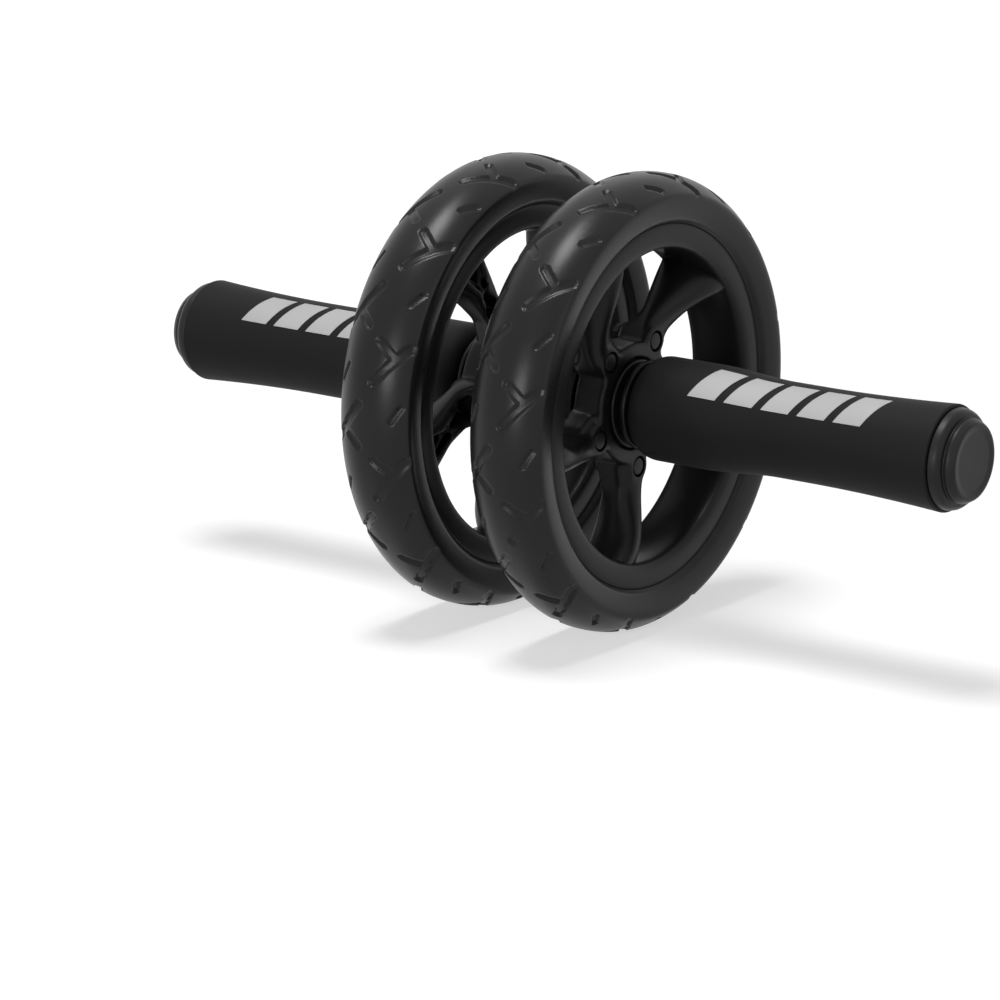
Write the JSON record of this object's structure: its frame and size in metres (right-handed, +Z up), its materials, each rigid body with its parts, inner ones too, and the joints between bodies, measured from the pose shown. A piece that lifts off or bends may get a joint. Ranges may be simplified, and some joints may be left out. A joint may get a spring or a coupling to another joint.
{
  "type": "ab roller",
  "caption": "Ab roller with a pair of ribbed-tread spoked wheels turning freely on one axle and a waisted soft grip on each side, each closed by a stepped end cap",
  "frame": {"origin": "on the floor under the middle of the axle, half way between the two wheels", "axes": "+X along the axle towards the right-hand grip, +Y the way it rolls, +Z up"},
  "size_m": [0.33, 0.16, 0.16],
  "materials": {
    "tyre_rubber": "satin moulded rubber",
    "wheel_plastic": "satin fine-grained",
    "grip_rubber": "matte soft rubber foam",
    "cap_plastic": "satin",
    "axle_steel": "drawn bright steel",
    "bearing_plastic": "smooth black plastic",
    "screw_steel": "black-coated steel"
  },
  "bodies": {
    "handle_bar": {"axle_rod": "axle_steel", "centre_spacer": "wheel_plastic", "inner_thrust_washer_right": "bearing_plastic", "outer_thrust_washer_right": "bearing_plastic", "handle_core_right": "wheel_plastic", "grip_right": "grip_rubber", "end_cap_right": "cap_plastic", "end_washer_right": "screw_steel", "end_bolt_right": "screw_steel", "inner_thrust_washer_left": "bearing_plastic", "outer_thrust_washer_left": "bearing_plastic", "handle_core_left": "wheel_plastic", "grip_left": "grip_rubber", "end_cap_left": "cap_plastic", "end_washer_left": "screw_steel", "end_bolt_left": "screw_steel"},
    "wheel_right": {"tyre_right": "tyre_rubber", "wheel_rim_right": "wheel_plastic", "bearing_cap_right": "wheel_plastic", "outer_bush_right": "bearing_plastic", "inner_bush_right": "bearing_plastic", "hub_screw_right_1": "screw_steel", "hub_screw_right_2": "screw_steel", "hub_screw_right_3": "screw_steel", "hub_screw_right_4": "screw_steel", "hub_screw_right_5": "screw_steel"},
    "wheel_left": {"tyre_left": "tyre_rubber", "wheel_rim_left": "wheel_plastic", "bearing_cap_left": "wheel_plastic", "outer_bush_left": "bearing_plastic", "inner_bush_left": "bearing_plastic", "hub_screw_left_1": "screw_steel", "hub_screw_left_2": "screw_steel", "hub_screw_left_3": "screw_steel", "hub_screw_left_4": "screw_steel", "hub_screw_left_5": "screw_steel"}
  },
  "joints": [
    {"name": "wheel_right_spin", "type": "hinge", "parent": "handle_bar", "child": "wheel_right", "pos_m": [0.0272, 0, 0.08], "axis": [1, 0, 0], "continuous": true},
    {"name": "wheel_left_spin", "type": "hinge", "parent": "handle_bar", "child": "wheel_left", "pos_m": [-0.0272, 0, 0.08], "axis": [1, 0, 0], "continuous": true}
  ]
}
